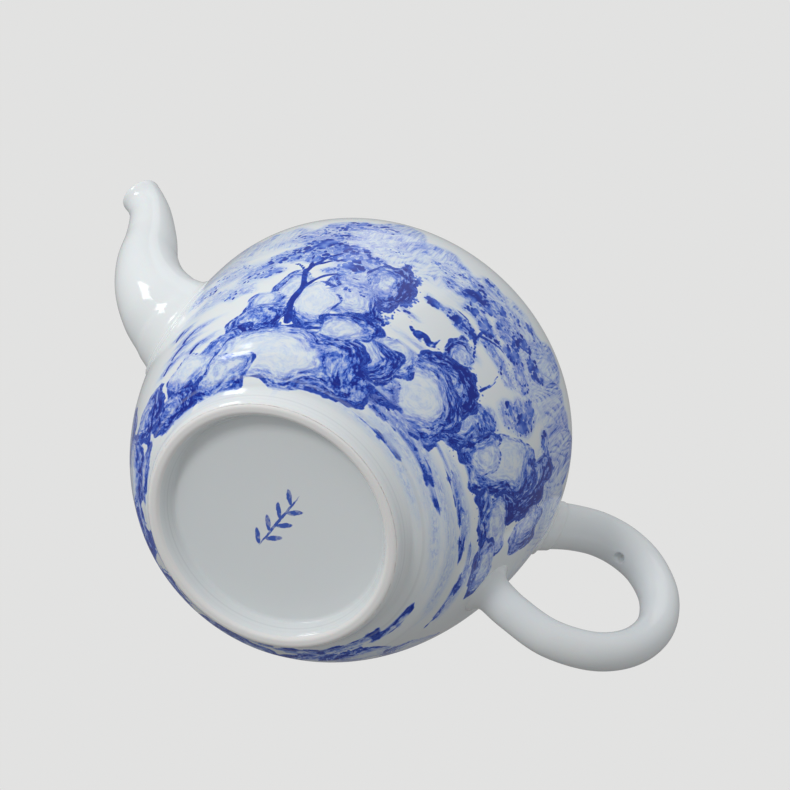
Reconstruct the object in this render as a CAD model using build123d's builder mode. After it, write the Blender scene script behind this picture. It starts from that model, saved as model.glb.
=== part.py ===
from build123d import *
import os
from math import cos, radians, sin

# A small round porcelain teapot, made as a potter makes it: a thrown bowl with a turned foot ring,
# a spout, a pierced strainer and a hollow handle luted on, and a loose domed lid with a ball knob.
# Millimetres. +Z runs up the pot's axis, the origin is the centre of the foot's bearing plane,
# +X points to the spout and -X to the handle. The XZ plane is the plane of symmetry.

# ---- Driving dimensions ----
BELLY_R = 42.8            # outer radius at the widest ring
BELLY_Z = 50.4            # height of the widest ring
LOWER_REACH, LOWER_POWER = 58.1, 2.29    # superellipse below the widest ring
UPPER_REACH, UPPER_POWER = 28.6, 2.18    # superellipse above it
WALL = 2.8                # thickness of the bowl and the lid

FOOT_R = 26.0             # outer radius of the foot ring's lip
FOOT_INNER_R = 23.1       # inner radius of the lip
FOOT_LIP = 0.8            # rounding on both sides of the lip's narrow flat land
FOOT_JOIN_R, FOOT_JOIN_Z = 27.1, 4.3     # where the ring's flared wall meets the belly
RECESS_R, RECESS_Z = 21.8, 4.1           # flat glazed floor inside the ring
BELLY_START_Z = 8.5       # the belly follows its formula from here up
INSIDE_FLOOR_Z = 7.4      # inside bottom of the bowl
INSIDE_CORNER = 8.0       # rounding between inside bottom and wall
OUTLINE_POINTS = 11       # points that carry the belly's formula into a spline

SEAT_Z = 73.4             # flat ring on which the lid rests
MOUTH_R = 23.2            # clear radius of the mouth
MOUTH_DEPTH = 5.8         # the mouth is cut straight down this far
EDGE = 0.6                # softened edges of glazed clay
LID_CLEARANCE = 0.3       # radial play of the lid's flange in the mouth
FLANGE_DEPTH = 7.0
FLANGE_WALL = 2.3
FLANGE_ROOT_DROP = 2.6    # the flange's inside runs straight up to this far below the seat
LID_HOLLOW_INSET, LID_HOLLOW_RISE = 3.4, 0.6     # a point on the lid's underside, from flange and seat
LID_START_RISE, LID_END_DROP = 1.4, 0.35         # where the lid follows the belly's formula
LID_POINTS = 5
LID_VENT_R = 1.0
LID_VENT_X = -11.5        # on the handle's side of the knob

KNOB_R = 6.0
KNOB_NECK_R = 3.3
KNOB_NECK_RISE = 1.2      # height of the neck's waist above the dome's top
KNOB_FOOT_FLARE = 1.6
KNOB_SINK = 1.5           # the neck's foot starts this far down, where the dome trims it
KNOB_BALL_START = -52     # angle on the ball, in degrees, where the neck runs into it
KNOB_Z = 86.0             # centre of the ball

# Stations down the middle of each luted piece: x, z, radius. The first and last ones of the handle
# and the first one of the spout lie inside the bowl's wall, where the flare is cut to fit it.
SPOUT_STATIONS = (
    (37.0, 38.8, 12.0),
    (41.5, 41.1, 10.1),
    (46.4, 43.0, 8.8),
    (51.3, 47.1, 7.5),
    (55.5, 53.6, 6.4),
    (58.8, 61.9, 5.4),
    (62.6, 69.5, 4.45),
    (65.4, 73.0, 4.1),
    (68.2, 75.0, 4.2),
)
SPOUT_WALL = 2.1          # at the root
SPOUT_TIP_WALL = 1.1
SPOUT_HOLE_R = 8.0        # hole in the bowl behind the spout
SPOUT_HOLE_REACH = 10.0   # how far the hole is cut to either side of the spout's root

HANDLE_STATIONS = (
    (-37.6, 52.4, 6.8),
    (-41.4, 57.6, 5.4),
    (-46.4, 63.3, 4.7),
    (-51.8, 67.1, 4.6),
    (-57.7, 68.1, 4.5),
    (-63.6, 65.9, 4.3),
    (-69.0, 59.4, 4.1),
    (-71.5, 49.3, 3.9),
    (-69.7, 38.3, 3.85),
    (-64.1, 29.2, 3.85),
    (-55.4, 23.9, 3.8),
    (-46.8, 24.0, 3.75),
    (-42.0, 25.6, 4.3),
    (-37.2, 27.2, 8.0),
)
HANDLE_WALL = 2.0
HANDLE_VENT_R = 0.8
HANDLE_VENT_STATION = 4   # the vent pierces the inner side of the loop, at this station
LOOP_MIDDLE_X, LOOP_MIDDLE_Z = -57.0, 46.0

STRAINER_R = 9.6
STRAINER_WALL = 1.4
STRAINER_HOLE_R = 1.1
STRAINER_RINGS = ((0, 1), (30, 6), (57, 11))     # angle from the dome's axis, holes in the ring

os.makedirs("parts", exist_ok=True)


def belly_radius(z, inset=0.0):
    """Radius of the belly's superellipse at height z, moved inwards by inset."""
    if z < BELLY_Z:
        reach, power = LOWER_REACH - inset, LOWER_POWER
    else:
        reach, power = UPPER_REACH - inset, UPPER_POWER
    drop = (abs(z - BELLY_Z) / reach) ** power
    return (BELLY_R - inset) * max(0.0, 1 - drop) ** (1 / power)


def belly_points(z_from, z_to, count, inset=0.0):
    """Points up the belly's outline, evenly spaced in height."""
    step = (z_to - z_from) / (count - 1)
    return [(belly_radius(z_from + i * step, inset), z_from + i * step) for i in range(count)]


def station_plane(stations, index):
    """Plane across a luted piece at a station, square to the line through its neighbours."""
    before = stations[max(index - 1, 0)]
    after = stations[min(index + 1, len(stations) - 1)]
    x, z, _ = stations[index]
    along = Vector(after[0] - before[0], 0, after[1] - before[1])
    return Plane(origin=(x, 0, z), x_dir=(0, 1, 0), z_dir=along)


# ---- The bowl's outside as one plain solid, used to fit the luted pieces to it ----
outside_points = [(FOOT_JOIN_R, FOOT_JOIN_Z)] + belly_points(BELLY_START_Z, SEAT_Z, OUTLINE_POINTS)
with BuildPart() as outside:
    with BuildSketch(Plane.XZ):
        with BuildLine():
            Polyline((0, SEAT_Z), (0, FOOT_JOIN_Z), (FOOT_JOIN_R, FOOT_JOIN_Z))
            Spline(*outside_points)
            Line(outside_points[-1], (0, SEAT_Z))
        make_face()
    revolve(axis=Axis.Z)

# ---- The bowl's inside as one plain solid ----
inside_points = belly_points(INSIDE_FLOOR_Z, SEAT_Z, OUTLINE_POINTS, WALL)
with BuildPart() as inside:
    with BuildSketch(Plane.XZ) as inside_face:
        with BuildLine():
            Polyline((0, SEAT_Z), (0, INSIDE_FLOOR_Z), inside_points[0])
            Spline(*inside_points)
            Line(inside_points[-1], (0, SEAT_Z))
        make_face()
        floor_corner = inside_face.vertices().group_by(Axis.Y)[0].sort_by(Axis.X)[-1]
        fillet(floor_corner, INSIDE_CORNER)
    revolve(axis=Axis.Z)

# ---- Foot ring: a narrow land between a flared outer wall and a bevelled inner one ----
with BuildPart() as foot:
    with BuildSketch(Plane.XZ):
        with BuildLine():
            Polyline((0, FOOT_JOIN_Z + EDGE), (0, RECESS_Z), (RECESS_R, RECESS_Z), (FOOT_INNER_R, FOOT_LIP))
            land_inner_r = FOOT_INNER_R + FOOT_LIP
            land_outer_r = FOOT_R - FOOT_LIP
            RadiusArc((FOOT_INNER_R, FOOT_LIP), (land_inner_r, 0), -FOOT_LIP)
            Line((land_inner_r, 0), (land_outer_r, 0))
            RadiusArc((land_outer_r, 0), (FOOT_R, FOOT_LIP), -FOOT_LIP)
            Polyline((FOOT_R, FOOT_LIP), (FOOT_JOIN_R, FOOT_JOIN_Z), (FOOT_JOIN_R, FOOT_JOIN_Z + EDGE))
            Line((FOOT_JOIN_R, FOOT_JOIN_Z + EDGE), (0, FOOT_JOIN_Z + EDGE))
        make_face()
    revolve(axis=Axis.Z)

# ---- Pot body ----
spout_root = station_plane(SPOUT_STATIONS, 1)
with BuildPart() as pot_body:
    add(outside.part)
    add(foot.part)
    add(inside.part, mode=Mode.SUBTRACT)
    with Locations((0, 0, SEAT_Z)):
        Cylinder(MOUTH_R, 2 * MOUTH_DEPTH, mode=Mode.SUBTRACT)
    mouth_edges = pot_body.faces().filter_by(Axis.Z).sort_by(Axis.Z)[-1].edges()
    fillet(mouth_edges, EDGE)
    with BuildSketch(spout_root):
        Circle(SPOUT_HOLE_R)
    extrude(amount=SPOUT_HOLE_REACH, both=True, mode=Mode.SUBTRACT)
pot_body.part.label = "pot_body"
export_step(pot_body.part, "parts/pot_body.step")

# ---- Spout: an S-shaped tapering tube, luted round the hole in the bowl ----
with BuildPart() as spout:
    for index, (*_, radius) in enumerate(SPOUT_STATIONS):
        with BuildSketch(station_plane(SPOUT_STATIONS, index)):
            Circle(radius)
    loft()
    last = len(SPOUT_STATIONS) - 1
    for index, (*_, radius) in enumerate(SPOUT_STATIONS):
        wall = SPOUT_WALL + (SPOUT_TIP_WALL - SPOUT_WALL) * index / last
        with BuildSketch(station_plane(SPOUT_STATIONS, index)):
            Circle(radius - wall)
    loft(mode=Mode.SUBTRACT)
    add(outside.part, mode=Mode.SUBTRACT)
spout.part.label = "spout"
export_step(spout.part, "parts/spout.step")

# ---- Strainer: a pierced dome luted over the hole, on the inside of the bowl ----
strainer_axis = Plane(spout_root.origin - spout_root.z_dir * WALL, spout_root.x_dir, -spout_root.z_dir)
with BuildPart() as strainer:
    with Locations(Location(strainer_axis)):
        Sphere(STRAINER_R)
        Sphere(STRAINER_R - STRAINER_WALL, mode=Mode.SUBTRACT)
    for tilt, count in STRAINER_RINGS:
        for index in range(count):
            turn = radians(360 * index / count)
            way = Vector(sin(radians(tilt)) * cos(turn), sin(radians(tilt)) * sin(turn), cos(radians(tilt)))
            hole_way = strainer_axis.from_local_coords(way) - strainer_axis.origin
            with BuildSketch(Plane(strainer_axis.origin, z_dir=hole_way)):
                Circle(STRAINER_HOLE_R)
            extrude(amount=STRAINER_R + WALL, mode=Mode.SUBTRACT)
    add(inside.part, mode=Mode.INTERSECT)
strainer.part.label = "strainer"
export_step(strainer.part, "parts/strainer.step")

# ---- Handle: a hollow ear-shaped loop with flared roots ----
loop_middle = Vector(LOOP_MIDDLE_X, 0, LOOP_MIDDLE_Z)
with BuildPart() as handle:
    for index, (*_, radius) in enumerate(HANDLE_STATIONS):
        with BuildSketch(station_plane(HANDLE_STATIONS, index)):
            Circle(radius)
    loft()
    for index, (*_, radius) in enumerate(HANDLE_STATIONS):
        with BuildSketch(station_plane(HANDLE_STATIONS, index)):
            Circle(radius - HANDLE_WALL)
    loft(mode=Mode.SUBTRACT)
    add(outside.part, mode=Mode.SUBTRACT)
    vent_x, vent_z, vent_reach = HANDLE_STATIONS[HANDLE_VENT_STATION]
    vent_from = Vector(vent_x, 0, vent_z)
    with BuildSketch(Plane(vent_from, z_dir=loop_middle - vent_from)):
        Circle(HANDLE_VENT_R)
    extrude(amount=vent_reach + EDGE, mode=Mode.SUBTRACT)
handle.part.label = "handle"
export_step(handle.part, "parts/handle.step")

# ---- Lid: a shallow dome that carries on the belly's curve, with a flange that drops in the mouth ----
dome_top = BELLY_Z + UPPER_REACH
flange_r = MOUTH_R - LID_CLEARANCE
flange_inner_r = flange_r - FLANGE_WALL
lid_outline = [(belly_radius(SEAT_Z), SEAT_Z)]
lid_outline += belly_points(SEAT_Z + LID_START_RISE, dome_top - LID_END_DROP, LID_POINTS)
lid_under = [
    (flange_inner_r, SEAT_Z - FLANGE_ROOT_DROP),
    (flange_inner_r - LID_HOLLOW_INSET, SEAT_Z + LID_HOLLOW_RISE),
    (0, dome_top - WALL),
]
with BuildPart() as lid:
    with BuildSketch(Plane.XZ):
        with BuildLine():
            Line((flange_r, SEAT_Z), lid_outline[0])
            Spline(*lid_outline, (0, dome_top), tangents=((0, 1), (-1, 0)))
            Line((0, dome_top), lid_under[2])
            Spline(lid_under[2], lid_under[1], lid_under[0], tangents=((1, 0), (0, -1)))
            flange_foot = SEAT_Z - FLANGE_DEPTH
            Polyline(lid_under[0], (flange_inner_r, flange_foot), (flange_r, flange_foot), (flange_r, SEAT_Z))
        make_face()
    revolve(axis=Axis.Z)
    rim = lid.edges().filter_by(GeomType.CIRCLE).sort_by(SortBy.RADIUS)[-1]
    fillet(rim, EDGE)
    bottom_edges = lid.edges().filter_by(GeomType.CIRCLE).group_by(Axis.Z)[0]
    fillet(bottom_edges, EDGE)
    with Locations((LID_VENT_X, 0, dome_top)):
        Hole(LID_VENT_R)
lid.part.label = "lid"

# ---- Knob: a ball on a short flared neck, luted to the dome ----
knob_foot = (KNOB_NECK_R + KNOB_FOOT_FLARE, dome_top - KNOB_SINK)
neck_waist = (KNOB_NECK_R, dome_top + KNOB_NECK_RISE)
ball_turn = radians(KNOB_BALL_START)
ball_start = (KNOB_R * cos(ball_turn), KNOB_Z + KNOB_R * sin(ball_turn))
ball_side = (KNOB_R, KNOB_Z)
ball_top = (0, KNOB_Z + KNOB_R)
with BuildPart() as lid_knob:
    with BuildSketch(Plane.XZ):
        with BuildLine():
            ball = ThreePointArc(ball_start, ball_side, ball_top)
            Polyline(ball_top, (0, knob_foot[1]), knob_foot)
            Spline(knob_foot, neck_waist, ball_start, tangents=((-0.6, 1), ball % 0))
        make_face()
    revolve(axis=Axis.Z)
    add(lid.part, mode=Mode.SUBTRACT)
lid_knob.part.label = "lid_knob"

export_step(lid.part, "parts/lid.step")
export_step(lid_knob.part, "parts/lid_knob.step")
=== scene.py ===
from math import cos, pi, radians, sin

import bmesh
import bpy
import numpy as np
from mathutils import Matrix, Vector


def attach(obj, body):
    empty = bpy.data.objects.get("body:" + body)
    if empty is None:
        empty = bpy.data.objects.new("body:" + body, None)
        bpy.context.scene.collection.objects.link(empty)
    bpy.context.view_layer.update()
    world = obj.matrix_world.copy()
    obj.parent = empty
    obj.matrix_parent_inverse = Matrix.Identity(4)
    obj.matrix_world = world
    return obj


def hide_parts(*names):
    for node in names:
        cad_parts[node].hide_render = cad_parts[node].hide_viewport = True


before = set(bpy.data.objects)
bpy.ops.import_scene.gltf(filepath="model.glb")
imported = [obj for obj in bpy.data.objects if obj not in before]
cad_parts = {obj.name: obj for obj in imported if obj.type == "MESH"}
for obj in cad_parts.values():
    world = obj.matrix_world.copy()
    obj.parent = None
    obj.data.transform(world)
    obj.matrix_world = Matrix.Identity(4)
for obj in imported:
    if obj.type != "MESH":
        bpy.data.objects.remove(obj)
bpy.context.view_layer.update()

# A small blue-and-white porcelain teapot: white glaze over a landscape painted in cobalt blue.
# Shapes are worked out in millimetres in the CAD's own frame (+Z up, +X to the spout, origin under
# the middle of the foot) and scaled to metres when their meshes are made.
MM = 0.001

# ---- Driving dimensions, mm ----
BELLY_R, BELLY_Z = 42.8, 50.4
LOWER_REACH, LOWER_POWER = 58.1, 2.29
UPPER_REACH, UPPER_POWER = 28.6, 2.18
WALL = 2.8
FOOT_R, FOOT_INNER_R, FOOT_LIP = 26.0, 23.1, 0.8
FOOT_JOIN_R, FOOT_JOIN_Z = 27.1, 4.3
RECESS_R, RECESS_Z = 21.8, 4.1
BELLY_START_Z = 8.5
INSIDE_FLOOR_Z, INSIDE_CORNER = 7.4, 8.0
SEAT_Z, MOUTH_R, EDGE = 73.4, 23.2, 0.6

SPOUT_STATIONS = (
    (33.8, 37.6, 10.9),
    (41.5, 41.1, 10.1),
    (46.4, 43.0, 8.8),
    (51.3, 47.1, 7.5),
    (55.5, 53.6, 6.4),
    (58.8, 61.9, 5.4),
    (62.6, 69.5, 4.45),
    (65.4, 73.0, 4.1),
    (68.2, 75.0, 4.2),
)
HANDLE_STATIONS = (
    (-36.0, 51.0, 5.3),
    (-41.4, 57.9, 4.95),
    (-46.4, 63.3, 4.7),
    (-51.8, 67.1, 4.6),
    (-57.7, 68.1, 4.5),
    (-63.6, 65.9, 4.3),
    (-69.0, 59.4, 4.1),
    (-71.5, 49.3, 3.9),
    (-69.7, 38.3, 3.85),
    (-64.1, 29.2, 3.85),
    (-55.4, 23.9, 3.8),
    (-46.8, 24.0, 3.75),
    (-41.0, 25.6, 3.9),
    (-34.0, 27.4, 4.1),
)
VENT_AT = (-57.5, 0.0, 63.5)      # vent hole of the hollow handle, under its top arc
VENT_DEPTH, VENT_R = 1.9, 1.25
GUARD = 0.1               # rows this close to a rounded corner keep the faces beside it flat
SUNK = 1.0                # the luted pieces start this far under the bowl's skin
SPOUT_WALL, SPOUT_TIP_WALL, SPOUT_FILLET = 2.1, 1.1, 1.2
LIP_ROLL = 0.6
UPPER_ROOT_FILLET, LOWER_ROOT_FILLET = 0.9, 2.4
COLLAR_WIDTH, COLLAR_STEP = 2.7, 0.28
SPOUT_HOLE_AT, SPOUT_HOLE_WAY = Vector((40.58, 0, 40.69)), Vector((0.913, 0, 0.408))
SPOUT_HOLE_R, SPOUT_HOLE_REACH = 8.0, 8.0
SPRIG_AT, SPRIG_TURN = (0.0, 0.0), 97.0     # middle and turn of the sprig inside the foot ring


# ---- Small maths ----
def belly_radius(z):
    """Outer radius of the bowl at height z."""
    z = np.asarray(z, float)
    reach = np.where(z < BELLY_Z, LOWER_REACH, UPPER_REACH)
    power = np.where(z < BELLY_Z, LOWER_POWER, UPPER_POWER)
    return BELLY_R * np.clip(1 - (np.abs(z - BELLY_Z) / reach) ** power, 0, None) ** (1 / power)


def smoothstep(low, high, x):
    t = np.clip((x - low) / (high - low), 0, 1)
    return t * t * (3 - 2 * t)


RIPPLE_WAVES = 7


def ripple(x, y, seed):
    """A smooth random field of sine waves, about -1 to 1; x and y are in units of its grain."""
    rng = np.random.RandomState(seed)
    total = 0
    for _ in range(RIPPLE_WAVES):
        way, pitch, phase = rng.uniform(0, 2 * pi), rng.uniform(0.6, 2.2), rng.uniform(0, 2 * pi)
        total = total + np.sin(pitch * (x * cos(way) + y * sin(way)) * 2 + phase)
    return total / RIPPLE_WAVES * 1.7


def spline(points, count):
    """A Catmull-Rom curve through points, evenly stepped between them."""
    p = np.asarray(points, float)
    p = np.vstack([2 * p[0] - p[1], p, 2 * p[-1] - p[-2]])
    t = np.linspace(0, len(p) - 3 - 1e-9, count)
    i = t.astype(int)
    t = (t - i)[:, None]
    a, b, c, d = p[i], p[i + 1], p[i + 2], p[i + 3]
    return 0.5 * (2 * b + (c - a) * t + (2 * a - 5 * b + 4 * c - d) * t**2 + (3 * b - a - 3 * c + d) * t**3)


def evenly(points, count):
    """The same line with its points evenly spaced along it."""
    p = np.asarray(points, float)
    run = np.r_[0, np.cumsum(np.linalg.norm(np.diff(p, axis=0), axis=1))]
    at = np.linspace(0, run[-1], count)
    return np.stack([np.interp(at, run, p[:, k]) for k in range(p.shape[1])], 1)


def rounded(points, radii, steps):
    """A polyline with its corners rounded off; radii has one value for each inner corner."""
    p = [np.asarray(q, float) for q in points]
    out = [p[0]]
    for before, corner, after, radius in zip(p, p[1:], p[2:], radii):
        to_a, to_b = before - corner, after - corner
        reach = min(radius, np.linalg.norm(to_a) / 2, np.linalg.norm(to_b) / 2)
        a = corner + to_a / np.linalg.norm(to_a) * reach
        b = corner + to_b / np.linalg.norm(to_b) * reach
        out.append(a + (a - corner) / np.linalg.norm(a - corner) * GUARD)
        for t in np.linspace(0, 1, steps):
            out.append((1 - t) ** 2 * a + 2 * t * (1 - t) * corner + t**2 * b)
        out.append(b + (b - corner) / np.linalg.norm(b - corner) * GUARD)
    return np.array(out + [p[-1]])


# ---- Mesh makers ----
def make_mesh(name, verts_mm, faces):
    mesh = bpy.data.meshes.new(name)
    mesh.from_pydata((np.asarray(verts_mm) * MM).tolist(), [], faces)
    mesh.shade_smooth()
    mesh.validate()
    piece = bpy.data.objects.new(name, mesh)
    bpy.context.scene.collection.objects.link(piece)
    return piece


def grid_faces(rows, columns, start=0, flip=False):
    """Quads of a tube-like grid whose columns close on themselves."""
    faces = []
    for i in range(rows - 1):
        for j in range(columns):
            a = start + i * columns + j
            b = start + i * columns + (j + 1) % columns
            quad = (a, b, b + columns, a + columns)
            faces.append(quad[::-1] if flip else quad)
    return faces


def lathe(name, profile, angles):
    """A closed solid of revolution. The profile starts and ends on the axis."""
    rings = profile[1:-1]
    n = len(angles)
    ring_verts = [
        np.stack([r * np.cos(angles), r * np.sin(angles), np.full(n, z)], 1) for r, z in rings
    ]
    verts = np.vstack(ring_verts + [[[0, 0, profile[0][1]], [0, 0, profile[-1][1]]]])
    faces = grid_faces(len(rings), n)
    first, last = len(verts) - 2, len(verts) - 1
    base = (len(rings) - 1) * n
    faces += [(first, (j + 1) % n, j) for j in range(n)]
    faces += [(last, base + j, base + (j + 1) % n) for j in range(n)]
    return make_mesh(name, verts, faces)


def set_float(piece, name, values):
    layer = piece.data.attributes.new(name, "FLOAT", "POINT")
    layer.data.foreach_set("value", np.asarray(values, np.float32).ravel())


def set_vector(piece, name, values):
    layer = piece.data.attributes.new(name, "FLOAT_VECTOR", "POINT")
    layer.data.foreach_set("vector", np.asarray(values, np.float32).ravel())


# ---- The painting: fields on the bowl's skin, which the glaze's shader turns into brushwork ----
FAR_LINE, NO_STROKE = 6.0, -3.0       # where no outline or stroke is near, mm
ANY_DEPTH = 99                        # more than any depth inside a rock or a hill, mm


class Painting:
    """Brush fields over a grid of azimuth (degrees from the spout) and height along the skin (mm)."""

    def __init__(self, azimuth, height, radius):
        self.azimuth, self.height, self.radius = azimuth, height, radius
        shape = azimuth.shape
        self.tone = np.zeros(shape)            # strength of the wash
        self.band = np.zeros(shape)            # counts the contour bands outwards in a rock
        self.band_gain = np.zeros(shape)       # how strongly the bands show
        self.line = np.full(shape, FAR_LINE)   # distance to the nearest outline, mm
        self.line_width = np.zeros(shape)      # half width of that outline, mm
        self.leaf = np.zeros(shape)            # density of foliage dabs and moss dots
        self.stroke = np.full(shape, NO_STROKE)    # above 0 inside a single brush stroke, mm
        turn = np.radians(azimuth)
        self.flow = np.stack([height * 0.55, 3.2 * np.cos(turn), 3.2 * np.sin(turn)], -1)

    def local(self, at, tilt=0.0):
        """Millimetres across and up from a point on the skin, turned by tilt degrees."""
        across = ((self.azimuth - at[0] + 180) % 360 - 180) * self.radius * pi / 180
        up = self.height - at[1]
        c, s = cos(radians(tilt)), sin(radians(tilt))
        return across * c + up * s, up * c - across * s

    def rock(self, at, size, tilt, dark, base, core, bands, gain, side, seed, width, moss=0.0,
             power=2.3, wobble=0.13):
        """A swirling rock: a pale heart inside contour bands that darken towards one side.

        base is the tone of the heart, dark what is added at the dark edge, and core how far out the
        heart reaches (0 to 1). bands and gain are the number and strength of the contour bands, side
        the way that the dark edge faces (degrees), and width the outline's half width (mm). moss
        dots the dark edge. power squares the shape off and wobble makes it uneven.
        """
        x, y = self.local(at, tilt)
        a, b = size
        small = min(a, b)
        grain = 0.55 * small + 1.2
        warp = 0.14 * small
        x = x + warp * ripple(x / grain, y / grain, seed + 1)
        y = y + warp * ripple(x / grain, y / grain, seed + 2)
        turn = np.arctan2(y / b, x / a)
        d = ((np.abs(x) / a) ** power + (np.abs(y) / b) ** power) ** (1 / power)
        rng = np.random.RandomState(seed + 3)
        for k in (2, 3, 5, 8):
            d = d * (1 + wobble / k**0.5 * np.sin(k * turn + rng.uniform(0, 2 * pi)))
        inside = d < 1
        depth = (1 - d) * small
        facing = 0.5 + 0.5 * np.cos(turn - radians(side))
        # the bands gather round a heart that sits off centre, on the lit side
        heart = np.hypot(x / a + 0.42 * cos(radians(side)), y / b + 0.42 * sin(radians(side)))
        inner = np.clip(0.5 * d + 0.5 * heart, 0, 1.4)
        shade = smoothstep(core, 1.0, inner) * (0.3 + 0.7 * facing**1.3)
        self.tone = np.where(inside, base + dark * shade, self.tone)
        sway = 0.45 * ripple(x / grain, y / grain, seed + 4) + 0.2 * ripple(x / 1.3, y / 1.3, seed + 6)
        self.band = np.where(inside, inner * bands + sway, self.band)
        own_gain = gain * (0.2 + 0.8 * facing) * smoothstep(0.5, 0.85, inner)
        self.band_gain = np.where(inside, own_gain, self.band_gain)
        flow = np.stack([inner * 0.55 * small + 0.25 * sway + seed, x * 0.2, y * 0.2], -1)
        self.flow = np.where(inside[..., None], flow, self.flow)
        self.leaf = np.where(inside, 0, self.leaf)
        self.stroke = np.where(inside, NO_STROKE, self.stroke)
        near = np.abs(depth) < np.where(inside, ANY_DEPTH, self.line)
        own = width * (0.3 + 0.75 * facing) * (1 + 0.6 * ripple(x / 2.0, y / 2.0, seed + 5))
        self.line_width = np.where(near, own, self.line_width)
        self.line = np.where(near, np.abs(depth), self.line)
        if moss > 0:
            band = np.exp(-((depth + 0.55) / 0.75) ** 2) * smoothstep(0.45, 0.8, facing)
            self.leaf = np.maximum(self.leaf, moss * band)

    def hill(self, at, size, tone, tilt, seed):
        """A far hill: a soft dome of long upright strokes, darker under its crest."""
        x, y = self.local(at, tilt)
        a, b = size
        x = x + 0.9 * ripple(x / 5, y / 9, seed)
        lean = 0.35 * ripple(seed * 1.7, 0.0, 9)
        dome = np.sqrt(np.clip(1 - (x / a) ** 2, 0, 1)) * (1 + lean * x / a)
        crest = b * dome**1.4 + 0.9 * ripple(x / 2.6, 0 * y, seed + 1)
        depth = crest - y
        body = smoothstep(-0.4, 1.6, depth) * smoothstep(-0.9, 0.1, y / b)
        body = body * smoothstep(1.02, 0.7, np.abs(x) / a)
        fresh = tone * (0.35 + 0.9 * np.exp(-np.clip(depth, 0, ANY_DEPTH) / (0.35 * b)))
        self.tone = self.tone * (1 - body) + fresh * body
        inside = body > 0.35
        flow = np.stack([x * 0.36 + seed, y * 0.04, 0 * x], -1)
        self.flow = np.where(inside[..., None], flow, self.flow)
        arch = 0.42 * depth + 0.25 * x + 0.9 * ripple(x / 3, y / 6, seed + 2)
        self.band = np.where(inside, arch, self.band)
        self.band_gain = np.where(inside, 0.6 * tone, self.band_gain)

    def wash(self, at, size, tilt, tone, seed):
        """A soft patch of thinned blue with no outline, streaked along its length."""
        x, y = self.local(at, tilt)
        a, b = size
        y = y + 0.3 * b * ripple(x / a * 1.4, y / b * 0.7, seed)
        cover = np.exp(-((x / a) ** 2 + (y / b) ** 2) ** 1.3)
        self.tone = np.maximum(self.tone, self.tone * (1 - cover) + tone * cover)
        flow = np.stack([y * 0.9 + seed, x * 0.25, 0 * x], -1)
        self.flow = np.where((cover > 0.5)[..., None], flow, self.flow)

    def foliage(self, at, size, tilt, density, seed):
        """A ragged cloud of leaf dabs."""
        x, y = self.local(at, tilt)
        a, b = size
        d = np.hypot(x / a, y / b) + 0.28 * ripple(x / (0.4 * a + 0.8), y / (0.5 * b + 0.6), seed)
        cloud = smoothstep(1.12, 0.55, d)
        self.leaf = np.maximum(self.leaf, density * cloud)
        self.tone = np.maximum(self.tone, 0.42 * density * cloud)
        flow = np.stack([x * 0.22 + seed, y * 0.42, 0 * x], -1)
        self.flow = np.where((cloud > 0.3)[..., None], flow, self.flow)
        self.band_gain = self.band_gain * (1 - 0.8 * cloud)

    def stroke_along(self, points, width, taper=0.35):
        """One brush stroke through (azimuth, height) points, thinning to its end."""
        line = spline(points, 10 * len(points))
        steps = len(line) - 1
        for k in range(steps):
            x, y = self.local(line[k])
            ex = (line[k + 1][0] - line[k][0]) * self.radius * pi / 180
            ey = line[k + 1][1] - line[k][1]
            t = np.clip((x * ex + y * ey) / (ex * ex + ey * ey + 1e-9), 0, 1)
            reach = width * (1 - (1 - taper) * (k + t) / steps)
            self.stroke = np.maximum(self.stroke, reach - np.hypot(x - t * ex, y - t * ey))


def paint_rocks(p, rows):
    """Rocks, later ones in front. A row holds the arguments of Painting.rock, in its order."""
    for row in rows:
        p.rock(*row)


def paint_leaves(p, tilt, seed, rows):
    """Clouds of leaf dabs from rows of azimuth, height, half width, half height and density."""
    for k, (az, up, a, b, dense) in enumerate(rows):
        p.foliage((az, up), (a, b), tilt, dense, seed + k)


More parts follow.
